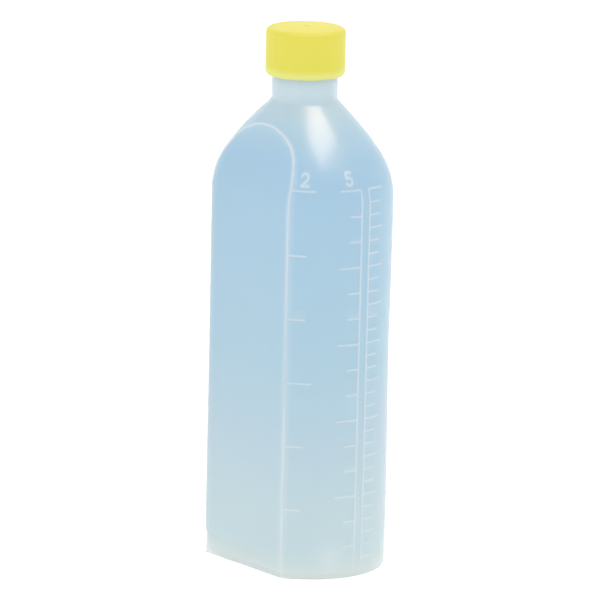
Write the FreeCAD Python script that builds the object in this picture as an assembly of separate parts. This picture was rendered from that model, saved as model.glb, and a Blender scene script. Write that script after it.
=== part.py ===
import FreeCAD, Part
import math
import os

# Flattened-oval dispensing bottle of about 500 mL with a 28 mm screw neck, in millimetres.
# Z runs up the neck axis, the floor is Z = 0, and the front label panel faces -Y.

# Body section: two end arcs on +X and -X, joined by flats and cut by the two label panels.
ARC_RADIUS = 30.0
ARC_OFFSET = 8.0
PANEL_Y = 26.0
WALL = 1.0

# Heights along Z.
HEEL_RADIUS = 0.8
TAPER_TOP = 22.0
SHOULDER_Z = 145.0
RIM_Z = 207.8
TOP_LINE_Z = 152.9

# Base: the heel draws in a little and the middle is pushed up inside a standing ring.
BASE_DRAW_IN = 0.4
RING_WIDTH = 6.0
PUSH_UP = 1.2
PUSH_UP_RUN = 2.4
FLOOR_THICKNESS = 1.2
FLOOR_HUMP_ROOT_Z = 0.6

# Shoulder, seen from the front: a round of SHOULDER_RADIUS, then a flatter round down to the neck.
SHOULDER_RADIUS = 26.5
BREAK_ANGLE = math.radians(36.4)
NECK_ANGLE = math.radians(51.2)
SHOULDER_SECTIONS = 9

# Label panels end in a round arch, drawn on the shoulder about this height.
PANEL_HALF_WIDTH = ARC_OFFSET + math.sqrt(ARC_RADIUS ** 2 - PANEL_Y ** 2)
ARCH_CENTRE_Z = 151.0
ARCH_POINTS = 14

# Neck finish, 28 mm, six threads to the inch. The shoulder's top ends hidden inside the neck wall.
NECK_RADIUS = 12.7
SHOULDER_TOP_GAP = 2.2
SHOULDER_END_RISE = 0.4
SHOULDER_END_INSET = 0.6
SHOULDER_END_OFFSET = 0.2
NECK_OVERLAP = 6.0
BORE_RADIUS = 11.0
PITCH = 25.4 / 6.0
THREAD_RADIUS = 13.7
THREAD_TURNS = 2.25
THREAD_Z = 195.3
THREAD_ROOT_WIDTH = 2.2
THREAD_CREST_WIDTH = 1.0

# Graduations: raised lines on both narrow sides.
MARK_HEIGHT = 0.3
MARK_WIDTH = 0.6
LONG_EVERY = 3
SPINE_ANGLE = 3.65
PANEL_EDGE_ANGLE = 60.0
SPINE_FOOT_Z = 6.0
SCALE_ZERO_Z = 2.8

# Each scale: the days it divides the filling into, then its long and short ticks in degrees.
SCALES_FRONT = ((2, 19.5, 13.9), (5, 17.4, 10.1), (10, 15.1, 10.9))
SCALES_BACK = ((3, 19.5, 13.9), (4, 17.4, 10.1), (7, 15.1, 10.9))

# Cap, and the sealing disc inside it.
CAP_RADIUS = 15.4
CAP_FOOT_Z = 191.5
CAP_TOP_Z = 210.2
CAP_DOME = 0.4
CAP_BORE_RADIUS = 14.0
CAP_EDGE_ROUND = 2.0
CAP_FOOT_ROUND = 2.2
CAP_FOOT_SWEEP = math.radians(52.0)
CAP_THREAD_RADIUS = 13.05
CAP_THREAD_TURNS = 2.5
CAP_THREAD_ROOT_WIDTH = 1.9
CAP_THREAD_CREST_WIDTH = 0.9
LOAD_FLANK_GAP = 0.25
LINER_RADIUS = 13.6
LINER_THICKNESS = 1.0
LINER_GAP = 0.05

# Screw ridges start this far inside the wall they grow from.
SUNK = 0.4
UP = FreeCAD.Vector(0, 0, 1)


def vec(x, y, z):
    return FreeCAD.Vector(x, y, z)


def upper_round():
    """Radius and centre, in the X-Z plane, of the flatter round between the break and the neck."""
    break_z = SHOULDER_Z + SHOULDER_RADIUS * math.sin(BREAK_ANGLE)
    break_x = ARC_RADIUS + ARC_OFFSET - SHOULDER_RADIUS * (1.0 - math.cos(BREAK_ANGLE))
    radius = (break_x - NECK_RADIUS) / (math.cos(BREAK_ANGLE) - math.cos(NECK_ANGLE))
    return radius, break_x - radius * math.cos(BREAK_ANGLE), break_z - radius * math.sin(BREAK_ANGLE)


def neck_foot_z():
    """Height at which the shoulder reaches the neck."""
    radius, _, centre_z = upper_round()
    return centre_z + radius * math.sin(NECK_ANGLE)


def front_half_width(z):
    """Half width along X at height z of the wall and the shoulder."""
    wall = ARC_RADIUS + ARC_OFFSET
    if z <= SHOULDER_Z:
        return wall
    if z <= SHOULDER_Z + SHOULDER_RADIUS * math.sin(BREAK_ANGLE):
        return wall - SHOULDER_RADIUS + math.sqrt(SHOULDER_RADIUS ** 2 - (z - SHOULDER_Z) ** 2)
    radius, centre_x, centre_z = upper_round()
    return centre_x + math.sqrt(radius ** 2 - (z - centre_z) ** 2)


def section_size(z):
    """Arc radius and arc offset at height z: an oval in the body that turns round at the neck."""
    share = (front_half_width(z) - NECK_RADIUS) / (ARC_RADIUS + ARC_OFFSET - NECK_RADIUS)
    return NECK_RADIUS + (ARC_RADIUS - NECK_RADIUS) * share, ARC_OFFSET * share


def oval(radius, offset, z):
    """Closed wire of two half circles joined by two straight lines."""
    right_low = vec(offset, -radius, z)
    right_high = vec(offset, radius, z)
    left_high = vec(-offset, radius, z)
    left_low = vec(-offset, -radius, z)
    right = Part.Arc(right_low, vec(offset + radius, 0, z), right_high).toShape()
    back = Part.LineSegment(right_high, left_high).toShape()
    left = Part.Arc(left_high, vec(-offset - radius, 0, z), left_low).toShape()
    front = Part.LineSegment(left_low, right_low).toShape()
    return Part.Wire([right, back, left, front])


def arch_half_width(z):
    """Half width of the label panel at height z."""
    rise = max(0.0, z - ARCH_CENTRE_Z)
    return math.sqrt(max(0.0, PANEL_HALF_WIDTH ** 2 - rise ** 2))


def panel_reach(z):
    """Distance of the label panel from the middle plane at height z, so that the arch is round."""
    radius, offset = section_size(z)
    beside = max(0.0, arch_half_width(z) - offset)
    return math.sqrt(radius ** 2 - beside ** 2)


def arch_top_z():
    """Height at which the arch has narrowed to the straight middle of the section."""
    low = ARCH_CENTRE_Z
    high = ARCH_CENTRE_Z + PANEL_HALF_WIDTH
    while high - low > 0.001:
        middle = (low + high) / 2.0
        if arch_half_width(middle) > section_size(middle)[1]:
            low = middle
        else:
            high = middle
    return high


def panel_envelope(grow):
    """Prism along X whose front and back faces are the label panels."""
    x = -2.0 * ARC_RADIUS
    low = -10.0
    high = CAP_TOP_Z + 10.0
    top_z = arch_top_z()
    top_y = panel_reach(top_z) + grow
    edges = []
    for side in (1.0, -1.0):
        bend = []
        for step in range(ARCH_POINTS + 1):
            z = SHOULDER_Z + (top_z - SHOULDER_Z) * step / ARCH_POINTS
            bend.append(vec(x, side * (panel_reach(z) + grow), z))
        curve = Part.BSplineCurve()
        curve.interpolate(bend)
        edges.append(Part.LineSegment(vec(x, side * (PANEL_Y + grow), low), bend[0]).toShape())
        edges.append(curve.toShape())
        edges.append(Part.LineSegment(bend[-1], vec(x, side * top_y, high)).toShape())
    edges.append(Part.LineSegment(vec(x, top_y, high), vec(x, -top_y, high)).toShape())
    foot_y = PANEL_Y + grow
    edges.append(Part.LineSegment(vec(x, foot_y, low), vec(x, -foot_y, low)).toShape())
    outline = Part.Wire(Part.__sortEdges__(edges))
    return Part.Face(outline).extrude(vec(4.0 * ARC_RADIUS, 0, 0))


def foot_sections(grow, floor_z, heel):
    """Sections of the rounded heel and the drawn-in foot, from the floor up."""
    sections = []
    steps = 4
    for step in range(steps + 1):
        angle = math.pi / 2.0 * step / steps
        z = floor_z + heel * (1.0 - math.cos(angle))
        draw = BASE_DRAW_IN * (TAPER_TOP - z) / (TAPER_TOP - floor_z)
        inset = heel * (1.0 - math.sin(angle))
        sections.append(oval(ARC_RADIUS + grow - draw - inset, ARC_OFFSET, z))
    sections.append(oval(ARC_RADIUS + grow, ARC_OFFSET, TAPER_TOP))
    return sections


def vessel(grow, floor_z, heel, neck_radius, neck_top):
    """Solid of the whole bottle form, grown outwards by grow."""
    foot = Part.makeLoft(foot_sections(grow, floor_z, heel), True, True)
    wall = Part.Face(oval(ARC_RADIUS + grow, ARC_OFFSET, TAPER_TOP))
    wall = wall.extrude(vec(0, 0, SHOULDER_Z - TAPER_TOP))
    neck_z = neck_foot_z()
    shoulder_top = neck_z - SHOULDER_TOP_GAP
    shoulder_sections = []
    for step in range(SHOULDER_SECTIONS):
        z = SHOULDER_Z + (shoulder_top - SHOULDER_Z) * step / (SHOULDER_SECTIONS - 1)
        radius, offset = section_size(z)
        shoulder_sections.append(oval(radius + grow, offset, z))
    end_radius = min(neck_radius, NECK_RADIUS + grow) - SHOULDER_END_INSET
    shoulder_sections.append(oval(end_radius, SHOULDER_END_OFFSET, neck_z + SHOULDER_END_RISE))
    shoulder = Part.makeLoft(shoulder_sections, True, False)
    neck_start = neck_z - NECK_OVERLAP
    neck = Part.makeCylinder(neck_radius, neck_top - neck_start, vec(0, 0, neck_start), UP)
    form = foot.fuse([wall, shoulder, neck])
    return form.common(panel_envelope(grow)).removeSplitter()


def helical_ridge(root_radius, crest_radius, root_width, crest_width, start_z, turns):
    """Right-hand helical ridge of trapezium section, from root_radius to crest_radius."""
    spine = Part.makeHelix(PITCH, PITCH * turns, root_radius)
    corners = [
        vec(root_radius, 0, -root_width / 2.0),
        vec(crest_radius, 0, -crest_width / 2.0),
        vec(crest_radius, 0, crest_width / 2.0),
        vec(root_radius, 0, root_width / 2.0),
    ]
    profile = Part.makePolygon(corners + corners[:1])
    ridge = Part.Wire(spine).makePipeShell([profile], True, True)
    ridge.translate(vec(0, 0, start_z))
    return ridge


def sector(side, low_angle, high_angle, low_z, high_z):
    """Wedge about an end arc's axis, between two angles counted from the side's centre line."""
    spread = high_angle - low_angle
    wedge = Part.makeCylinder(
        ARC_RADIUS + 2.0, high_z - low_z, vec(ARC_OFFSET, 0, low_z), UP, spread)
    wedge.rotate(vec(ARC_OFFSET, 0, 0), UP, low_angle)
    if side < 0:
        wedge.rotate(vec(0, 0, 0), UP, 180.0)
    return wedge


def scale_marks(side, spine_angle, direction, scale):
    """One graduated scale: a spine line and its ticks, every third tick long."""
    days, long_tick, short_tick = scale
    intervals = days * LONG_EVERY
    half_line = math.degrees(MARK_WIDTH / 2.0 / ARC_RADIUS)
    marks = [
        sector(side, spine_angle - half_line, spine_angle + half_line, SPINE_FOOT_Z, TOP_LINE_Z)]
    for step in range(1, intervals + 1):
        z = SCALE_ZERO_Z + (TOP_LINE_Z - SCALE_ZERO_Z) * step / intervals
        if z < SPINE_FOOT_Z:
            continue
        reach = long_tick if step % LONG_EVERY == 0 else short_tick
        low = min(spine_angle, spine_angle + direction * reach)
        high = max(spine_angle, spine_angle + direction * reach)
        marks.append(sector(side, low, high, z - MARK_WIDTH, z))
    return marks


def graduations():
    """All raised lines of one bottle, as wedges still to be trimmed to their height."""
    marks = []
    for side, scales in ((1, SCALES_FRONT), (-1, SCALES_BACK)):
        marks += scale_marks(side, -PANEL_EDGE_ANGLE, 1.0, scales[0])
        marks += scale_marks(side, -SPINE_ANGLE, -1.0, scales[1])
        marks += scale_marks(side, SPINE_ANGLE, 1.0, scales[2])
    marks += scale_marks(1, PANEL_EDGE_ANGLE, -1.0, SCALES_FRONT[0])
    return marks


def make_bottle():
    outside = vessel(0.0, 0.0, HEEL_RADIUS, NECK_RADIUS, RIM_Z)
    raised = vessel(MARK_HEIGHT, 0.0, HEEL_RADIUS, NECK_RADIUS, RIM_Z)
    wedges = graduations()
    marks = raised.common(wedges[0].fuse(wedges[1:]))
    thread = helical_ridge(
        NECK_RADIUS - SUNK, THREAD_RADIUS, THREAD_ROOT_WIDTH, THREAD_CREST_WIDTH,
        THREAD_Z, THREAD_TURNS)
    inside = vessel(-WALL, FLOOR_THICKNESS, HEEL_RADIUS, BORE_RADIUS, RIM_Z + 5.0)
    ring_in = ARC_RADIUS - BASE_DRAW_IN - RING_WIDTH
    push_up = Part.makeLoft(
        [oval(ring_in, ARC_OFFSET, 0), oval(ring_in - PUSH_UP_RUN, ARC_OFFSET, PUSH_UP)], True, True)
    floor_hump = Part.makeLoft(
        [oval(ring_in + WALL, ARC_OFFSET, FLOOR_HUMP_ROOT_Z),
         oval(ring_in - PUSH_UP_RUN, ARC_OFFSET, PUSH_UP + FLOOR_THICKNESS)], True, True)
    shell = outside.fuse([marks, thread])
    shell = shell.cut(inside.cut(floor_hump))
    return shell.cut(push_up.common(panel_envelope(-RING_WIDTH / 2.0)))


def make_cap():
    """Smooth screw cap: one closed shell of revolution with a helical ridge inside."""
    under = RIM_Z + LINER_THICKNESS + LINER_GAP
    round_top = CAP_RADIUS - CAP_EDGE_ROUND
    dome_radius = (round_top ** 2 + CAP_DOME ** 2) / (2.0 * CAP_DOME)
    foot_z = CAP_FOOT_Z + CAP_FOOT_ROUND * math.sin(CAP_FOOT_SWEEP)
    edge_z = CAP_TOP_Z - CAP_EDGE_ROUND

    def foot_point(angle):
        x = CAP_RADIUS - CAP_FOOT_ROUND * (1.0 - math.cos(angle))
        return vec(x, 0, foot_z - CAP_FOOT_ROUND * math.sin(angle))

    def edge_point(angle):
        x = round_top + CAP_EDGE_ROUND * math.cos(angle)
        return vec(x, 0, edge_z + CAP_EDGE_ROUND * math.sin(angle))

    centre_under = vec(0, 0, under)
    bore_top = vec(CAP_BORE_RADIUS, 0, under)
    bore_foot = vec(CAP_BORE_RADIUS, 0, CAP_FOOT_Z)
    round_end = edge_point(math.pi / 2.0)
    centre_top = vec(0, 0, CAP_TOP_Z)
    edges = [
        Part.LineSegment(centre_under, bore_top).toShape(),
        Part.LineSegment(bore_top, bore_foot).toShape(),
        Part.LineSegment(bore_foot, foot_point(CAP_FOOT_SWEEP)).toShape(),
        Part.Arc(
            foot_point(CAP_FOOT_SWEEP), foot_point(CAP_FOOT_SWEEP / 2.0),
            foot_point(0.0)).toShape(),
        Part.LineSegment(foot_point(0.0), edge_point(0.0)).toShape(),
        Part.Arc(edge_point(0.0), edge_point(math.pi / 4.0), round_end).toShape(),
        Part.LineSegment(round_end, centre_top).toShape(),
        Part.LineSegment(centre_top, centre_under).toShape(),
    ]
    shell = Part.Face(Part.Wire(edges)).revolve(vec(0, 0, 0), UP, 360.0)
    dome_centre = vec(0, 0, CAP_TOP_Z - dome_radius)
    shell = shell.common(Part.makeSphere(dome_radius, dome_centre, vec(1, 0, 0)))
    middle = (THREAD_ROOT_WIDTH + THREAD_CREST_WIDTH) / 4.0
    middle += (CAP_THREAD_ROOT_WIDTH + CAP_THREAD_CREST_WIDTH) / 4.0
    start_z = THREAD_Z - middle - LOAD_FLANK_GAP
    thread = helical_ridge(
        CAP_BORE_RADIUS + SUNK, CAP_THREAD_RADIUS, CAP_THREAD_ROOT_WIDTH,
        CAP_THREAD_CREST_WIDTH, start_z, CAP_THREAD_TURNS)
    return shell.fuse(thread)


def make_liner():
    return Part.makeCylinder(LINER_RADIUS, LINER_THICKNESS, vec(0, 0, RIM_Z), UP)


def main():
    os.makedirs("parts", exist_ok=True)
    pieces = {
        "bottle": make_bottle(),
        "screw_cap": make_cap(),
        "cap_liner": make_liner(),
    }
    for name, shape in pieces.items():
        solids = shape.Solids
        if len(solids) != 1 or not shape.isValid():
            raise ValueError(f"{name}: {len(solids)} solids, valid {shape.isValid()}")
        box = shape.BoundBox
        size = f"{box.XLength:.2f} x {box.YLength:.2f} x {box.ZLength:.2f} mm"
        print(f"{name}: {size}, {shape.Volume / 1000.0:.2f} mL")
        solids[0].exportStep(f"parts/{name}.step")


main()
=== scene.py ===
"""Looks of a translucent dispensing bottle with a yellow screw cap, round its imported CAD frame."""

import math

import bpy
import numpy as np
from mathutils import Matrix, Vector, kdtree


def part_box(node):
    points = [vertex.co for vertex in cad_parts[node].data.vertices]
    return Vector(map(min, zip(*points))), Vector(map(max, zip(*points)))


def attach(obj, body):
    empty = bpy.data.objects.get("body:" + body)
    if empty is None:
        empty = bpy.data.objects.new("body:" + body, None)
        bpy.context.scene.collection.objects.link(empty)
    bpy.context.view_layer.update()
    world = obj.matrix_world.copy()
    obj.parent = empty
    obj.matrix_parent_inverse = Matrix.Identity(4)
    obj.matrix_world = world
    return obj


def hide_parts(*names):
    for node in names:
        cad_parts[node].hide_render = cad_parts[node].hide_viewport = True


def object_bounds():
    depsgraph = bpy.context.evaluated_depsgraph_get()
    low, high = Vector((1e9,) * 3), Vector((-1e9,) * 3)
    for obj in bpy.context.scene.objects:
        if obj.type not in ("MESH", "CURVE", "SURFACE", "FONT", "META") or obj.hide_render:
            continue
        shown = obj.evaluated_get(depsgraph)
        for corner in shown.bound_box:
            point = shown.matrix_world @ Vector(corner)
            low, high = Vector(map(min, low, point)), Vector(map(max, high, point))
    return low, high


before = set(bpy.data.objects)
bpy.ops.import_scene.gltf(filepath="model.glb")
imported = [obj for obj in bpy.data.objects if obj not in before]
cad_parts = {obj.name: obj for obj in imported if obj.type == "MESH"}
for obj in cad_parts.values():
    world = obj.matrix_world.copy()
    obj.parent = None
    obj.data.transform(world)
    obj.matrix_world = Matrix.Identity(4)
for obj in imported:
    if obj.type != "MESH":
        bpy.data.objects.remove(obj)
cad_low, cad_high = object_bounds()

MM = 0.001
TURN = 2.0 * math.pi

# Places and sizes in millimetres, read from the frame where it states them.
bottle_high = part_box("bottle")[1] / MM
cap_low, cap_high = (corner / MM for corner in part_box("screw_cap"))
liner_low, liner_high = (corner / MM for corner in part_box("cap_liner"))
RIM_Z = bottle_high.z

# The bottle's driving dimensions.
ARC_RADIUS = 30.0
ARC_OFFSET = 8.0
EDGE_ANGLE = math.radians(60.0)
EDGE = ARC_RADIUS * EDGE_ANGLE
PANEL_Y = 26.0
MARK_HEIGHT = bottle_high.y - PANEL_Y
WALL = 1.0
HEEL_RADIUS = 0.8
TAPER_TOP = 22.0
BASE_DRAW_IN = 0.4
PUSH_UP = 1.2
PINCH_HEIGHT = 0.45
FLOOR_THICKNESS = 1.3
SHOULDER_Z = 145.0
SHOULDER_RADIUS = 26.5
BREAK_ANGLE = math.radians(36.4)
NECK_ANGLE = math.radians(51.2)
PANEL_HALF_WIDTH = ARC_OFFSET + math.sqrt(ARC_RADIUS ** 2 - PANEL_Y ** 2)
ARCH_CENTRE_Z = 151.0
NECK_RADIUS = 12.7
NECK_EDGE_ANGLE = math.radians(80.0)
NECK_BLEND = 0.55
NECK_START = 181.7
BORE_RADIUS = 11.0
PITCH = 25.4 / 6.0

# Graduations, as arc positions from a narrow side's centre line and heights.
TOP_LINE_Z = 152.9
SCALE_ZERO_Z = 2.8
TICK_DROP = 0.3
SPINE_S = 1.91
SPINE_FOOT_Z = 6.0
LONG_EVERY = 3
LINE_HALF = 0.52
BEAD_HALF = 0.72
TICK_FADE = 0.35
RELIEF_SHARE = 0.93
SEAM_HEIGHT = 0.05

# Scales by side: the way and line they start from, days, long and short tick, share of the height.
SCALES = {
    1: ((-1, "edge", 2, 10.2, 7.3, 1.0), (-1, "spine", 5, 9.1, 5.3, 1.0),
        (1, "spine", 10, 7.9, 5.7, 1.0), (1, "edge", 2, 10.2, 7.3, 0.4)),
    -1: ((-1, "edge", 3, 10.2, 7.3, 1.0), (-1, "spine", 4, 9.1, 5.3, 1.0),
         (1, "spine", 7, 7.9, 5.7, 1.0)),
}

# Raised figures over the scales.
DIGIT_Z = 154.5
DIGIT_HEIGHT = 4.5
DIGIT_WIDTH = 3.0
DIGIT_RELIEF = 0.9
SHORTEST_STROKE = 0.01
STROKE_HALF = 0.85
DIGIT_CENTRES = (-25.9, -6.8, 6.5)
DIGITS = {1: ("2", "5"), -1: ("3", "4", "7")}

# Whiter plastic beside the panel edges, and a painted highlight: a pale spot over the base on both
# narrow sides.
EDGE_MILK = 0.4
EDGE_ROUND = 2.2
PAINTED_FOOT_HIGHLIGHT = 0.5
PAINTED_FOOT_HIGHLIGHT_ANGLE = -0.40
PAINTED_FOOT_HIGHLIGHT_SPREAD = 0.17
PAINTED_FOOT_HIGHLIGHT_Z = 9.0
PAINTED_FOOT_HIGHLIGHT_RISE = 4.5

# Sink of the soft wall, and the dent over the base at the -X, -Y corner.
SINK_DEPTH = 0.42
SINK_Z = 84.0
SINK_RISE = 30.0
SINK_ANGLE = 0.9
SINK_SPREAD = 0.42
DENT_DEPTH = 2.2
DENT_WIDTH = 8.0
DENT_Z = 4.6
DENT_RISE = 2.8

# Thread on the neck, 2.25 turns of a rounded trapezium.
THREAD_LOW = 195.3
THREAD_TURNS = 2.25
THREAD_HEIGHT = 1.0
THREAD_ROOT_HALF = 1.1
THREAD_CREST_HALF = 0.5
THREAD_RUN_OUT = 0.06

# Mouth: rounds of the rim, outside and in.
RIM_ROUND_OUT = 0.5
RIM_ROUND_IN = 0.4

# Cap.
CAP_COLUMNS = 160
CAP_RADIUS = cap_high.x
CAP_EDGE_ROUND = 2.0
CAP_DOME = 0.4
CAP_FOOT_ROUND = 2.2
CAP_FOOT_SWEEP = math.radians(52.0)
CAP_BORE_RADIUS = 14.0
CAP_THREAD_LOW = THREAD_LOW - 1.75
CAP_THREAD_TURNS = 2.5
CAP_THREAD_HEIGHT = 0.95
CAP_THREAD_ROOT_HALF = 0.95
CAP_THREAD_CREST_HALF = 0.45
GATE_DEPTH = 0.18
LINER_GAP = 0.05
LINER_COLUMNS = 96

# Colours of the plastics, linear. The white serves the whiter plastic of the raised marks and panel
# edges, and the painted highlight over the base.
MILK_AND_HIGHLIGHT_WHITE = (0.92, 0.97, 0.99)
MILK_AND_HIGHLIGHT_STRENGTH = 0.85

OBJECT_MIDDLE = Vector((0.0, 0.0, cad_high[2] / 2.0))


# ---------------------------------------------------------------- camera, floor and light

def make_camera():
    """Long lens a little over the object, which leans a little to the right."""
    azimuth, elevation, roll = math.radians(50.0), math.radians(12.95), math.radians(1.29)
    distance, view_width, sensor = 2.1, 0.2326, 36.0
    target = Vector((0.0, 0.0, 0.10235))
    back = Vector((
        math.sin(azimuth) * math.cos(elevation),
        -math.cos(azimuth) * math.cos(elevation),
        math.sin(elevation)))
    data = bpy.data.cameras.new("camera")
    data.sensor_width = sensor
    data.lens = sensor * distance / view_width
    data.clip_end = 20.0
    camera = bpy.data.objects.new("camera", data)
    bpy.context.scene.collection.objects.link(camera)
    camera.rotation_euler = (back.to_track_quat("Z", "Y") @ Matrix.Rotation(
        roll, 4, "Z").to_quaternion()).to_euler()
    camera.location = target + back * distance
    bpy.context.scene.camera = camera
    return camera


def softbox(name, azimuth, elevation, distance, size, radiance, tint):
    """Rectangular soft light that faces the object from the given angles, in degrees."""
    turn, lift = math.radians(azimuth), math.radians(elevation)
    way = Vector((math.sin(turn) * math.cos(lift), -math.cos(turn) * math.cos(lift), math.sin(lift)))
    data = bpy.data.lights.new(name, "AREA")
    data.shape = "RECTANGLE"
    data.size, data.size_y = size
    data.energy = radiance * math.pi * size[0] * size[1]
    data.color = tint
    light = bpy.data.objects.new(name, data)
    bpy.context.scene.collection.objects.link(light)
    light.visible_diffuse = False
    light.location = OBJECT_MIDDLE + way * distance
    light.rotation_euler = way.to_track_quat("Z", "Y").to_euler()
    return light


def make_stage():
    """Bright pale floor, even white surroundings, a warm softbox overhead and a weak fill in front."""
    bpy.context.scene.view_settings.view_transform = "Standard"
    world = bpy.data.worlds.new("studio")
    bpy.context.scene.world = world
    world.use_nodes = True
    sky = world.node_tree.nodes["Background"]
    sky.inputs["Color"].default_value = (1.0, 1.0, 1.0, 1.0)
    sky.inputs["Strength"].default_value = 1.16
    bpy.ops.mesh.primitive_plane_add(size=8.0)
    floor = bpy.context.object
    floor.name = "floor"
    paper = bpy.data.materials.new("floor_paper")
    paper.use_nodes = True
    shader = paper.node_tree.nodes["Principled BSDF"]
    shader.inputs["Base Color"].default_value = (0.95, 0.95, 0.95, 1.0)
    shader.inputs["Roughness"].default_value = 0.9
    shader.inputs["Emission Color"].default_value = (1.0, 1.0, 1.0, 1.0)
    shader.inputs["Emission Strength"].default_value = 0.22
    floor.data.materials.append(paper)
    softbox("key", 104.0, 72.5, 1.3, (0.82, 0.48), 13.5, (1.0, 0.70, 0.48))
    softbox("fill", 12.0, 32.0, 1.6, (0.4, 0.6), 1.0, (1.0, 1.0, 1.0))


# ---------------------------------------------------------------- mesh helpers

def ring_mesh(name, rings, start=None, end=None):
    """Closed mesh through rings of equal length, with a fan to the start and end points."""
    columns = len(rings[0])
    points = [tuple(p[:3]) for ring in rings for p in ring]
    faces = []
    for row in range(len(rings) - 1):
        low, high = row * columns, (row + 1) * columns
        for k in range(columns):
            after = (k + 1) % columns
            faces.append((low + k, low + after, high + after, high + k))
    for centre, row, flip in ((start, 0, True), (end, len(rings) - 1, False)):
        points.append(tuple(centre))
        tip = len(points) - 1
        base = row * columns
        for k in range(columns):
            after = (k + 1) % columns
            pair = (base + after, base + k) if flip else (base + k, base + after)
            faces.append((*pair, tip))
    mesh = bpy.data.meshes.new(name)
    mesh.from_pydata([(x * MM, y * MM, z * MM) for x, y, z in points], [], faces)
    mesh.update()
    for polygon in mesh.polygons:
        polygon.use_smooth = True
    if rings[0].shape[1] == 4:
        # The relief attribute whitens the raised marks and the panel edges, and also carries the painted
        # highlight over the base.
        relief = mesh.attributes.new("relief", "FLOAT", "POINT")
        values = [float(p[3]) for ring in rings for p in ring] + [0.0, 0.0]
        relief.data.foreach_set("value", values)
    thing = bpy.data.objects.new(name, mesh)
    bpy.context.scene.collection.objects.link(thing)
    return thing


def merged(groups, least):
    """All values of the groups in order, without those nearer than least to the one before."""
    values = []
    for value in sorted(v for group in groups for v in group):
        if not values or value - values[-1] >= least:
            values.append(value)
    return values


def steps(low, high, spacing):
    """Evenly spaced values from low to high, about spacing apart, both ends included."""
    count = max(1, round((high - low) / spacing))
    return [low + (high - low) * k / count for k in range(count + 1)]


def bump(distance, half):
    """Rounded ridge of height 1 at distance 0 that reaches 0 smoothly at half."""
    share = np.clip(np.abs(distance) / half, 0.0, 1.0)
    return (1.0 - share ** 2) ** 2


def ease(value, low, high):
    """0 below low, 1 above high, smooth between."""
    share = np.clip((np.asarray(value, float) - low) / (high - low), 0.0, 1.0)
    return share * share * (3.0 - 2.0 * share)


# ---------------------------------------------------------------- the bottle's outer form

def front_half_width(z):
    """Half width along X at height z, from the wall over the shoulder to the neck."""
    wall = ARC_RADIUS + ARC_OFFSET
    if z <= SHOULDER_Z:
        return wall
    break_z = SHOULDER_Z + SHOULDER_RADIUS * math.sin(BREAK_ANGLE)
    if z <= break_z:
        return wall - SHOULDER_RADIUS + math.sqrt(SHOULDER_RADIUS ** 2 - (z - SHOULDER_Z) ** 2)
    break_x = wall - SHOULDER_RADIUS * (1.0 - math.cos(BREAK_ANGLE))
    upper = (break_x - NECK_RADIUS) / (math.cos(BREAK_ANGLE) - math.cos(NECK_ANGLE))
    centre_x = break_x - upper * math.cos(BREAK_ANGLE)
    centre_z = break_z - upper * math.sin(BREAK_ANGLE)
    sine = min((z - centre_z) / upper, math.sin(NECK_ANGLE))
    width = centre_x + upper * math.sqrt(1.0 - sine ** 2)
    beyond = z - (centre_z + upper * sine)
    width -= beyond * math.tan(NECK_ANGLE)
    return NECK_RADIUS + NECK_BLEND * math.log1p(math.exp((width - NECK_RADIUS) / NECK_BLEND))


def section_size(z):
    """Arc radius and arc offset at height z."""
    share = (front_half_width(z) - NECK_RADIUS) / (ARC_RADIUS + ARC_OFFSET - NECK_RADIUS)
    return NECK_RADIUS + (ARC_RADIUS - NECK_RADIUS) * share, ARC_OFFSET * share


def arch_half_width(z):
    """Half width of the label panel at height z."""
    rise = max(0.0, z - ARCH_CENTRE_Z)
    return math.sqrt(max(0.0, PANEL_HALF_WIDTH ** 2 - rise ** 2))


def panel_reach(z):
    """Distance of the label panel from the middle plane at height z, so that the arch is round."""
    radius, offset = section_size(z)
    beside = max(0.0, arch_half_width(z) - offset)
    return math.sqrt(radius ** 2 - beside ** 2)


def arch_top():
    """Height at which the arch has narrowed to the straight middle of the section."""
    low, high = ARCH_CENTRE_Z, ARCH_CENTRE_Z + PANEL_HALF_WIDTH
    while high - low > 0.001:
        middle = (low + high) / 2.0
        if arch_half_width(middle) > section_size(middle)[1]:
            low = middle
        else:
            high = middle
    return low


ARCH_TOP = arch_top()


def edge_angle(z, radius, reach):
    """Angle, about the end arc's axis, of the line where side and panel meet."""
    if z <= ARCH_TOP:
        return math.asin(min(1.0, reach / radius))
    share = float(ease(z, ARCH_TOP, NECK_START))
    return math.pi / 2.0 + (NECK_EDGE_ANGLE - math.pi / 2.0) * share


def make_columns():
    """Columns on one side, as reference arc positions, and on one panel, as shares of its width."""
    line = [-LINE_HALF, -0.18, 0.18, LINE_HALF]
    edge = [0.0, 0.22, 0.48, BEAD_HALF]
    tick_end = [-0.1, 0.3]
    groups = [steps(-EDGE, EDGE, 1.35)]
    groups.append([-EDGE + e for e in edge] + [EDGE - e for e in edge])
    for spine in (-SPINE_S, SPINE_S):
        groups.append([spine + e for e in line])
    for way, place, _, long_tick, short_tick, _ in SCALES[1]:
        for reach in (short_tick, long_tick):
            if place == "spine":
                groups.append([way * (SPINE_S + reach + e) for e in tick_end])
            else:
                groups.append([way * (EDGE - reach - e) for e in tick_end])
    for centre in DIGIT_CENTRES:
        half = DIGIT_WIDTH / 2.0 + STROKE_HALF
        groups.append(steps(centre - half, centre + half, 0.42))
    side = merged(groups, 0.14)
    wide = ARC_OFFSET + ARC_RADIUS * math.cos(EDGE_ANGLE)
    near = [1.0 - e / wide for e in edge[1:]]
    panel = merged([steps(-0.9, 0.9, 0.2), near, [-n for n in near]], 0.004)
    return np.array(side), np.array(panel)


def arc_points(centre, size, start, stop, count=7):
    """Points along an arc of an ellipse, angles in degrees."""
    angles = [math.radians(start + (stop - start) * k / (count - 1)) for k in range(count)]
    return [(centre[0] + size[0] * math.cos(a), centre[1] + size[1] * math.sin(a)) for a in angles]


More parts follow.
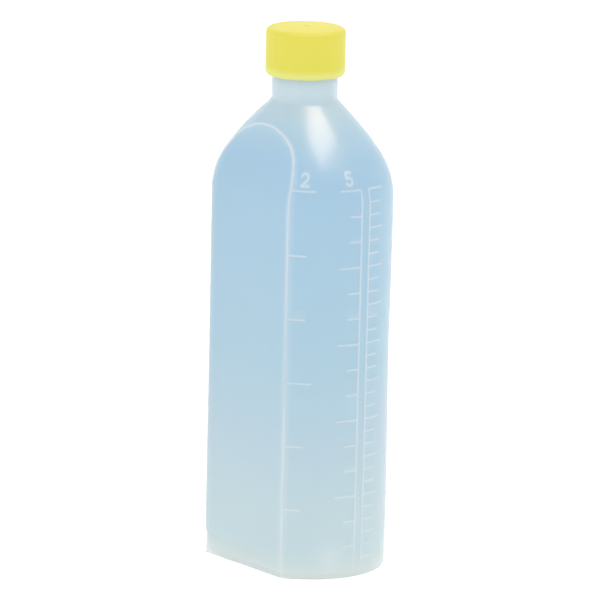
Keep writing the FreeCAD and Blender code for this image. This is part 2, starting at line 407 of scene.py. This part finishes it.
# Strokes of the raised figures on a cell 1 wide and 1 high.
FIGURES = {
    "2": [arc_points((0.5, 0.72), (0.48, 0.28), 165, -35) + [(0.03, 0.0), (1.0, 0.0)]],
    "3": [arc_points((0.48, 0.75), (0.42, 0.25), 150, -90)
          + arc_points((0.48, 0.25), (0.5, 0.25), 90, -150)],
    "4": [[(0.75, 0.0), (0.75, 1.0), (0.0, 0.3), (1.0, 0.3)]],
    "5": [[(0.92, 1.0), (0.15, 1.0), (0.08, 0.55)]
          + arc_points((0.48, 0.32), (0.5, 0.32), 130, -150)],
    "7": [[(0.0, 1.0), (1.0, 1.0), (0.35, 0.0)]],
}


def stroke_distance(s, z, strokes):
    """Distance in millimetres from each point (s, z) to the nearest stroke."""
    nearest = np.full(s.shape, 1e9)
    for stroke in strokes:
        for (s0, z0), (s1, z1) in zip(stroke, stroke[1:]):
            along_s, along_z = s1 - s0, z1 - z0
            if math.hypot(along_s, along_z) < SHORTEST_STROKE:
                continue
            share = ((s - s0) * along_s + (z - z0) * along_z) / (along_s ** 2 + along_z ** 2)
            share = np.clip(share, 0.0, 1.0)
            gap = np.hypot(s - s0 - share * along_s, z - z0 - share * along_z)
            nearest = np.minimum(nearest, gap)
    return nearest


def tick_heights(days):
    """(height, is long) of each tick of a scale for that many days, three doses a day."""
    count = days * LONG_EVERY
    ticks = []
    for step in range(1, count + 1):
        z = SCALE_ZERO_Z + (TOP_LINE_Z - SCALE_ZERO_Z) * step / count - TICK_DROP
        if z > SPINE_FOOT_Z:
            ticks.append((z, step % LONG_EVERY == 0))
    return ticks


def side_relief(side, s, z):
    """Height, 0 to 1, of the raised lines at arc positions s on one side, at height z."""
    relief = np.zeros(s.shape)
    spine_share = float(ease(z, SPINE_FOOT_Z - 1.0, SPINE_FOOT_Z))
    spine_share *= 1.0 - float(ease(z, TOP_LINE_Z - 0.5, TOP_LINE_Z))
    for way, place, days, long_tick, short_tick, height in SCALES[side]:
        root = way * (SPINE_S if place == "spine" else EDGE)
        inward = way if place == "spine" else -way
        if place == "spine":
            relief = np.maximum(relief, spine_share * bump(s - root, LINE_HALF))
        for tick_z, is_long in tick_heights(days):
            if abs(z - tick_z) >= LINE_HALF:
                continue
            reach = (s - root) * inward
            length = long_tick if is_long else short_tick
            along = 1.0 - ease(reach, length - 0.1, length + TICK_FADE)
            if place == "spine":
                along = along * ease(reach, -0.1, 0.0)
            else:
                along = along * ease(reach, 0.1, BEAD_HALF)
            relief = np.maximum(relief, height * along * bump(z - tick_z, LINE_HALF))
    if DIGIT_Z - STROKE_HALF < z < DIGIT_Z + DIGIT_HEIGHT + STROKE_HALF:
        for centre, figure in zip(DIGIT_CENTRES, DIGITS[side]):
            strokes = [
                [(centre + (x - 0.5) * DIGIT_WIDTH, DIGIT_Z + y * DIGIT_HEIGHT) for x, y in stroke]
                for stroke in FIGURES[figure]]
            gap = stroke_distance(s, np.full(s.shape, z), strokes)
            relief = np.maximum(relief, DIGIT_RELIEF * bump(gap, STROKE_HALF))
    return relief


def make_rows():
    """Heights of the outer rings from the heel's top to the rim."""
    groups = [steps(HEEL_RADIUS, SHOULDER_Z, 6.0)]
    for scales in SCALES.values():
        for scale in scales:
            for z, _ in tick_heights(scale[2]):
                groups.append([z - LINE_HALF, z, z + LINE_HALF])
    groups.append(steps(DIGIT_Z - STROKE_HALF, DIGIT_Z + DIGIT_HEIGHT + STROKE_HALF, 0.42))
    groups.append(steps(SHOULDER_Z, ARCH_TOP - 8.0, 0.9))
    groups.append(steps(ARCH_TOP - 8.0, ARCH_TOP + 1.0, 0.3))
    groups.append(steps(ARCH_TOP + 1.0, NECK_START - 3.0, 0.9))
    groups.append(steps(NECK_START - 3.0, NECK_START + 3.0, 0.5))
    groups.append(steps(NECK_START + 3.0, THREAD_LOW - 1.6, 1.2))
    groups.append(steps(THREAD_LOW - 1.6, RIM_Z - 0.6, 0.4))
    return merged(groups, 0.2)


def thread_relief(angle, z, low, turns, root_half, crest_half):
    """Height, 0 to 1, of a right-hand helical thread that starts at angle 0 and height low."""
    relief = np.zeros(angle.shape)
    angle = np.mod(angle, TURN)
    for turn in range(int(math.ceil(turns)) + 1):
        travel = angle / TURN + turn
        inside = ease(travel, 0.0, THREAD_RUN_OUT)
        inside = inside * (1.0 - ease(travel, turns - THREAD_RUN_OUT, turns))
        gap = np.abs(z - (low + PITCH * travel))
        relief = np.maximum(relief, inside * (1.0 - ease(gap, crest_half, root_half)))
    return relief


def wall_sink(x_side, angle, z):
    """How far the soft wall is drawn in, in millimetres, by moulding shrinkage."""
    waist = np.exp(-((z - SINK_Z) / SINK_RISE) ** 2)
    beside = np.exp(-((np.abs(angle) - SINK_ANGLE) / SINK_SPREAD) ** 2)
    return SINK_DEPTH * waist * beside * (0.6 + 0.4 * x_side)


def foot_dent(x_side, y_side, distance, z):
    """Dent over the base at the panel's lower corner on the -X, -Y side."""
    if x_side > 0 or y_side > 0:
        return 0.0 * distance
    return DENT_DEPTH * np.exp(-(distance / DENT_WIDTH) ** 2) * np.exp(-((z - DENT_Z) / DENT_RISE) ** 2)


def ring(z, side_columns, panel_columns, grow, marks, foot=0.0, panel_foot=0.0):
    """One ring of points round the bottle at height z, grown outwards by grow.

    foot draws in the end arcs between the panels, and panel_foot draws in the panels. Over the
    arch the two sides and the two strips between them make one closed oval.
    """
    radius, offset = section_size(z)
    reach = panel_reach(z)
    angle_edge = edge_angle(z, radius, reach)
    radius, reach = radius + grow, reach + grow
    closed = z > ARCH_TOP
    angles = side_columns / EDGE * angle_edge
    x_edge = offset + radius * math.cos(angle_edge)
    inner_share = 1.0 - ease(np.abs(angles), math.radians(42.0), angle_edge)
    parts = []
    for side in (1, -1):
        out = radius - foot * inner_share
        if not closed:
            out = out - wall_sink(side, angles, z)
            edge_gap = (angle_edge - np.abs(angles)) * radius
            for y_side in (-1, 1):
                dent = foot_dent(side, y_side * side, edge_gap, z)
                out = out - dent * (angles * y_side > 0)
        raised = 0.0 * angles
        if marks:
            raised = side_relief(side, side_columns, z)
            out = out + MARK_HEIGHT * RELIEF_SHARE * raised
            if z < NECK_START:
                out = out + SEAM_HEIGHT * bump(side_columns, LINE_HALF)
            milk = 0.0 if closed else EDGE_MILK
            raised = np.maximum(raised, milk * bump(EDGE - np.abs(side_columns), EDGE_ROUND))
            # Painted highlight: a pale spot over the base, carried in the same whitening values as the
            # marks.
            painted_foot_highlight = np.exp(-((angles - PAINTED_FOOT_HIGHLIGHT_ANGLE) / PAINTED_FOOT_HIGHLIGHT_SPREAD) ** 2)
            painted_foot_highlight = painted_foot_highlight * math.exp(-((z - PAINTED_FOOT_HIGHLIGHT_Z) / PAINTED_FOOT_HIGHLIGHT_RISE) ** 2)
            raised = np.maximum(raised, PAINTED_FOOT_HIGHLIGHT * painted_foot_highlight)
        x = side * (offset + out * np.cos(angles))
        y = side * out * np.sin(angles)
        parts.append(np.stack([x, y, np.full(x.shape, z), raised], axis=1))
        if closed:
            panel_half = offset + radius * (math.pi / 2.0 - angle_edge)
            along = panel_columns * panel_half
            turn = math.pi / 2.0 - np.maximum(0.0, np.abs(along) - offset) / radius
            over = np.abs(along) > offset
            x = np.where(over, np.sign(along) * (offset + radius * np.cos(turn)), along)
            y = np.where(over, radius * np.sin(turn), radius)
        else:
            panel_half = x_edge
            x = panel_columns * x_edge
            gap = x_edge * (1.0 - np.abs(panel_columns))
            dent = foot_dent(-1, side, gap, z) * (x < 0)
            y = reach - panel_foot - dent * math.sin(angle_edge)
            x = x + dent * math.cos(angle_edge)
        x = -side * x
        y = side * y
        milk = 0.0 if closed else EDGE_MILK
        beside = milk * bump(panel_half * (1.0 - np.abs(panel_columns)), EDGE_ROUND)
        parts.append(np.stack([x, y, np.full(x.shape, z), beside], axis=1))
    return np.concatenate(parts)


def arch_tree():
    """Search tree over the line that frames the panels."""
    points = []
    for z in steps(0.0, ARCH_TOP - 6.0, 0.4) + steps(ARCH_TOP - 6.0, ARCH_TOP, 0.02):
        radius, offset = section_size(z)
        angle = edge_angle(z, radius, panel_reach(z))
        points.append((offset + radius * math.cos(angle), radius * math.sin(angle), z))
    last_x, last_y, last_z = points[-1]
    points += [(x, last_y, last_z) for x in steps(-last_x, last_x, 0.2)]
    tree = kdtree.KDTree(len(points) * 4)
    index = 0
    for x, y, z in points:
        for x_sign in (1, -1):
            for y_sign in (1, -1):
                tree.insert((x * x_sign, y * y_sign, z), index)
                index += 1
    tree.balance()
    return tree


def add_bead(rings, tree):
    """Raises the bead along the line that frames each panel."""
    for points in rings:
        z = points[0][2]
        if z > ARCH_TOP + BEAD_HALF:
            continue
        for k, (x, y) in enumerate(points[:, :2]):
            gap = tree.find((x, y, z))[2]
            if gap < BEAD_HALF:
                raised = float(bump(gap, BEAD_HALF))
                lift = MARK_HEIGHT * RELIEF_SHARE * raised
                offset = min(abs(x), section_size(z)[1])
                away = Vector((x - math.copysign(offset, x), y))
                if abs(y) >= panel_reach(z) - 0.05:
                    away = Vector((0.0, y))
                away.normalize()
                points[k][0] += away.x * lift
                points[k][1] += away.y * lift
                points[k][3] = max(points[k][3], raised)


def foot_draw(z):
    """How far the end arcs are drawn in at height z near the base."""
    draw = BASE_DRAW_IN * (1.0 - z / TAPER_TOP) ** 1.5 if z < TAPER_TOP else 0.0
    if z < HEEL_RADIUS:
        fall = HEEL_RADIUS - z
        draw += HEEL_RADIUS - math.sqrt(HEEL_RADIUS ** 2 - fall ** 2)
    return draw


def base_rings(edge_ring, floor_z, pinched):
    """Rings from the middle of the base out to its standing edge, with the mould's pinch line or not."""
    rings = []
    for share in (0.04, 0.12, 0.25, 0.4, 0.55, 0.68, 0.75, 0.79, 0.82, 0.85, 0.88, 0.93):
        points = edge_ring.copy()
        points[:, :2] *= share
        rise = PUSH_UP * (1.0 - float(ease(share, 0.70, 0.87)))
        points[:, 2] = floor_z + rise
        if pinched:
            pinch = bump(points[:, 1], 0.7) * (1.0 - float(ease(share, 0.66, 0.72)))
            points[:, 2] -= PINCH_HEIGHT * pinch
        rings.append(points)
    return rings


def build_bottle():
    side_columns, panel_columns = make_columns()

    def outer(z):
        foot = foot_draw(z)
        panel_foot = 0.35 * (1.0 - z / 0.5) ** 2 if z < 0.5 else 0.0
        return ring(z, side_columns, panel_columns, 0.0, True, foot, panel_foot)

    heel = [outer(z) for z in (0.0, 0.08, 0.2, 0.4, 0.6)]
    rings = base_rings(heel[0], 0.0, True) + heel
    wall = [outer(z) for z in make_rows()]
    for points in wall:
        z = points[0][2]
        if z > THREAD_LOW - 1.6:
            angle = np.arctan2(points[:, 1], points[:, 0])
            relief = thread_relief(
                angle, z, THREAD_LOW, THREAD_TURNS, THREAD_ROOT_HALF, THREAD_CREST_HALF)
            points[:, :2] *= (1.0 + relief * THREAD_HEIGHT / NECK_RADIUS)[:, None]
    add_bead(heel + wall, arch_tree())
    rings += wall

    def neck_ring(radius, z):
        points = wall[-1].copy()
        points[:, :2] *= radius / NECK_RADIUS
        points[:, 2] = z
        return points

    for angle in (25.0, 50.0, 75.0, 90.0):
        turn = math.radians(angle)
        rings.append(neck_ring(
            NECK_RADIUS - RIM_ROUND_OUT * (1.0 - math.cos(turn)),
            RIM_Z - RIM_ROUND_OUT * (1.0 - math.sin(turn))))
    for angle in (90.0, 60.0, 30.0, 0.0):
        turn = math.radians(angle)
        rings.append(neck_ring(
            BORE_RADIUS + RIM_ROUND_IN * (1.0 - math.cos(turn)),
            RIM_Z - RIM_ROUND_IN * (1.0 - math.sin(turn))))
    for z in (204.0, 198.0, 192.0, 187.0):
        rings.append(neck_ring(BORE_RADIUS, z))
    inner_heights = [184.0, 182.5, 181.0, 179.0, 176.5] + steps(150.0, 174.0, 2.0)[::-1]
    inner_heights += [147.5, 145.0, 142.0, 138.0, 125.0, 105.0, 85.0, 65.0, 45.0, 30.0, 22.0, 14.0]
    inner_heights += [9.0, 6.0, 4.5]
    for z in inner_heights:
        wall_here = WALL + (NECK_RADIUS - BORE_RADIUS - WALL) * float(ease(z, 166.0, 184.0))
        rings.append(ring(z, side_columns, panel_columns, -wall_here, False, foot_draw(z)))
    floor_ring = ring(3.0, side_columns, panel_columns, -WALL - 0.35, False, foot_draw(3.0))
    rings.append(floor_ring)
    low_ring = ring(2.3, side_columns, panel_columns, -WALL - 1.1, False, foot_draw(3.0))
    low_ring[:, 2] = WALL + 0.6
    rings.append(low_ring)
    rings += base_rings(low_ring, FLOOR_THICKNESS, False)[::-1]
    low_centre = (0.0, 0.0, PUSH_UP - PINCH_HEIGHT)
    return ring_mesh("bottle_shell", rings, low_centre, (0.0, 0.0, PUSH_UP + FLOOR_THICKNESS))


# ---------------------------------------------------------------- cap and liner

def lathe_ring(radius, z, angles):
    radius = radius + 0.0 * angles
    return np.stack([radius * np.cos(angles), radius * np.sin(angles), z + 0.0 * angles], axis=1)


def build_cap():
    """Smooth domed cap with a soft lower edge, a gate mark on top and a thread inside."""
    angles = np.arange(CAP_COLUMNS) * TURN / CAP_COLUMNS
    top, foot = cap_high.z, cap_low.z
    flat_radius = CAP_RADIUS - CAP_EDGE_ROUND
    profile = []
    for radius in (0.5, 0.9, 1.1, 1.3, 1.6, 2.5, 4.5, 7.0, 9.5, 11.5, 12.6):
        gate = GATE_DEPTH * (1.0 - float(ease(radius, 0.9, 1.4)))
        profile.append((radius, top - CAP_DOME * (radius / flat_radius) ** 2 - gate))
    edge_z = top - CAP_DOME - CAP_EDGE_ROUND
    for angle in steps(90.0, 0.0, -11.25):
        turn = math.radians(angle)
        profile.append((
            flat_radius + CAP_EDGE_ROUND * math.cos(turn), edge_z + CAP_EDGE_ROUND * math.sin(turn)))
    foot_z = foot + CAP_FOOT_ROUND * math.sin(CAP_FOOT_SWEEP)
    for z in steps(edge_z, foot_z, -1.5)[1:-1]:
        profile.append((CAP_RADIUS, z))
    for k in range(8):
        turn = CAP_FOOT_SWEEP * k / 7
        profile.append((
            CAP_RADIUS - CAP_FOOT_ROUND * (1.0 - math.cos(turn)),
            foot_z - CAP_FOOT_ROUND * math.sin(turn)))
    profile.append((CAP_BORE_RADIUS + 0.35, foot + 0.02))
    profile.append((CAP_BORE_RADIUS + 0.08, foot + 0.15))
    rings = [lathe_ring(radius, z, angles) for radius, z in profile]
    under = liner_high.z + LINER_GAP
    for z in steps(foot + 0.5, under - 1.0, 0.34):
        relief = thread_relief(
            angles, z, CAP_THREAD_LOW, CAP_THREAD_TURNS, CAP_THREAD_ROOT_HALF, CAP_THREAD_CREST_HALF)
        rings.append(lathe_ring(CAP_BORE_RADIUS - relief * CAP_THREAD_HEIGHT, z, angles))
    for radius, z in ((CAP_BORE_RADIUS, under - 0.3), (CAP_BORE_RADIUS - 0.3, under)):
        rings.append(lathe_ring(radius, z, angles))
    for radius in (12.0, 9.0, 6.0, 3.0, 1.0):
        rings.append(lathe_ring(radius, under, angles))
    return ring_mesh("screw_cap_shell", rings[::-1], (0.0, 0.0, under), (0.0, 0.0, top - GATE_DEPTH))


def build_liner():
    """Foamed sealing disc with softly rounded edges."""
    angles = np.arange(LINER_COLUMNS) * TURN / LINER_COLUMNS
    low, high, radius = liner_low.z, liner_high.z, liner_high.x
    profile = [(r, low) for r in (3.0, 7.0, 10.4, 10.9, 11.2, 12.4, 12.8)]
    profile += [(radius - 0.3, low), (radius - 0.09, low + 0.09), (radius, low + 0.3)]
    profile += [(radius, high - 0.3), (radius - 0.09, high - 0.09), (radius - 0.3, high)]
    profile += [(r, high) for r in (12.0, 8.0, 4.0)]
    rings = [lathe_ring(r, z, angles) for r, z in profile]
    return ring_mesh("cap_liner_disc", rings, (0.0, 0.0, low), (0.0, 0.0, high))


# ---------------------------------------------------------------- materials

def new_material(name):
    material = bpy.data.materials.new(name)
    material.use_nodes = True
    return material, material.node_tree, material.node_tree.nodes["Principled BSDF"]


def link_ramp(tree, factor, stops):
    """Colour ramp over a factor, with stops of (position, colour)."""
    ramp = tree.nodes.new("ShaderNodeValToRGB")
    elements = ramp.color_ramp.elements
    while len(elements) < len(stops):
        elements.new(0.5)
    for element, (position, colour) in zip(elements, stops):
        element.position = position
        element.color = (*colour, 1.0)
    tree.links.new(factor, ramp.inputs["Fac"])
    return ramp.outputs["Color"]


def height_share(tree, low, high):
    """Height over the floor as a share from low to high, in metres, with the coordinates' socket."""
    place = tree.nodes.new("ShaderNodeTexCoord")
    split = tree.nodes.new("ShaderNodeSeparateXYZ")
    tree.links.new(place.outputs["Object"], split.inputs["Vector"])
    share = tree.nodes.new("ShaderNodeMapRange")
    share.inputs["From Min"].default_value = low
    share.inputs["From Max"].default_value = high
    tree.links.new(split.outputs["Z"], share.inputs["Value"])
    return share.outputs["Result"], place.outputs["Object"]


def noise(tree, place, scale, detail):
    cloud = tree.nodes.new("ShaderNodeTexNoise")
    cloud.inputs["Scale"].default_value = scale
    cloud.inputs["Detail"].default_value = detail
    tree.links.new(place, cloud.inputs["Vector"])
    return cloud.outputs["Fac"]


def add_bump(tree, shader, layers):
    """Bump from layers of (height socket, strength, distance in metres)."""
    normal = None
    for height, strength, distance in layers:
        node = tree.nodes.new("ShaderNodeBump")
        node.inputs["Strength"].default_value = strength
        node.inputs["Distance"].default_value = distance
        tree.links.new(height, node.inputs["Height"])
        if normal:
            tree.links.new(normal, node.inputs["Normal"])
        normal = node.outputs["Normal"]
    tree.links.new(normal, shader.inputs["Normal"])
    if "Coat Normal" in shader.inputs:
        tree.links.new(normal, shader.inputs["Coat Normal"])


def mixed(tree, factor, first, second):
    """Mix of two colours; each is a socket or a plain colour."""
    mix = tree.nodes.new("ShaderNodeMix")
    mix.data_type = "RGBA"
    tree.links.new(factor, mix.inputs[0])
    for socket, colour in ((mix.inputs[6], first), (mix.inputs[7], second)):
        if isinstance(colour, tuple):
            socket.default_value = (*colour, 1.0)
        else:
            tree.links.new(colour, socket)
    return mix.outputs[2]


def ldpe_material():
    """Milky bluish polyethylene, whiter on the raised marks where the moulding is thick, with painted
    light by height (lighter at the foot and the neck) and a painted highlight over the base.
    """
    material, tree, shader = new_material("ldpe")
    share, place = height_share(tree, 0.0, 0.2)
    # The colour by height is painted light: lighter at the foot and the neck, darker and bluer at mid
    # height.
    wall = link_ramp(tree, share, (
        (0.0, (0.85, 0.92, 0.91)), (0.025, (0.76, 0.88, 0.88)), (0.06, (0.69, 0.85, 0.90)),
        (0.1, (0.68, 0.83, 0.87)), (0.275, (0.60, 0.77, 0.865)), (0.425, (0.53, 0.745, 0.865)),
        (0.7, (0.49, 0.72, 0.875)), (0.81, (0.475, 0.715, 0.885)), (0.86, (0.55, 0.765, 0.89)),
        (0.90, (0.66, 0.825, 0.905)),
        (0.93, (0.73, 0.875, 0.925))))
    # Whitening from the relief attribute: the raised marks and panel edges, and the painted highlight
    # over the base.
    relief = tree.nodes.new("ShaderNodeAttribute")
    relief.attribute_name = "relief"
    strength = tree.nodes.new("ShaderNodeMath")
    strength.operation = "MULTIPLY"
    strength.inputs[1].default_value = MILK_AND_HIGHLIGHT_STRENGTH
    tree.links.new(relief.outputs["Fac"], strength.inputs[0])
    colour = mixed(tree, strength.outputs[0], wall, MILK_AND_HIGHLIGHT_WHITE)
    tree.links.new(colour, shader.inputs["Base Color"])
    shader.inputs["Roughness"].default_value = 0.42
    shader.inputs["IOR"].default_value = 1.51
    shader.inputs["Specular IOR Level"].default_value = 0.2
    shader.inputs["Transmission Weight"].default_value = 0.45
    shader.inputs["Coat Weight"].default_value = 0.35
    shader.inputs["Coat Roughness"].default_value = 0.18
    shader.inputs["Coat IOR"].default_value = 1.5
    add_bump(tree, shader, (
        (noise(tree, place, 45.0, 1.0), 0.25, 0.0006),
        (noise(tree, place, 900.0, 2.0), 0.05, 0.0001)))
    return material


def cap_material():
    """Satin yellow polypropylene, a little lighter and greener at its thin lower rim, and painted
    lighter on the top face as if lit from above.
    """
    material, tree, shader = new_material("cap_polypropylene")
    share, place = height_share(tree, 0.1915, 0.2102)
    # Painted light: the top face is coloured lighter, as lit from above; the lower rim is lighter and
    # greener.
    colour = link_ramp(tree, share, (
        (0.0, (0.68, 0.69, 0.23)), (0.1, (0.66, 0.66, 0.18)), (0.2, (0.645, 0.60, 0.084)),
        (0.9, (0.665, 0.605, 0.088)), (1.0, (0.77, 0.69, 0.09))))
    tree.links.new(colour, shader.inputs["Base Color"])
    shader.inputs["Roughness"].default_value = 0.42
    shader.inputs["Specular IOR Level"].default_value = 0.2
    shader.inputs["Subsurface Weight"].default_value = 0.15
    shader.inputs["Subsurface Radius"].default_value = (0.002, 0.0018, 0.0006)
    add_bump(tree, shader, (
        (noise(tree, place, 120.0, 1.0), 0.1, 0.0003),
        (noise(tree, place, 1500.0, 2.0), 0.06, 0.0001)))
    return material


def liner_material():
    """Fine closed-cell foam."""
    material, tree, shader = new_material("liner_foam")
    share, place = height_share(tree, 0.2078, 0.2088)
    cells = noise(tree, place, 1800.0, 3.0)
    colour = link_ramp(tree, cells, ((0.3, (0.80, 0.80, 0.77)), (0.7, (0.90, 0.90, 0.88))))
    tree.links.new(colour, shader.inputs["Base Color"])
    shader.inputs["Roughness"].default_value = 0.85
    add_bump(tree, shader, ((cells, 0.3, 0.0002),))
    return material


# ---------------------------------------------------------------- assembly

def main():
    make_camera()
    make_stage()
    pieces = (
        (build_bottle(), "bottle", "bottle", "ldpe_body", ldpe_material()),
        (build_cap(), "cap", "screw_cap", "cap_yellow", cap_material()),
        (build_liner(), "liner", "cap_liner", "liner_foam", liner_material()),
    )
    for piece, body, node, slot, material in pieces:
        piece.data.materials.append(material)
        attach(piece, body)
        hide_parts(node)


main()
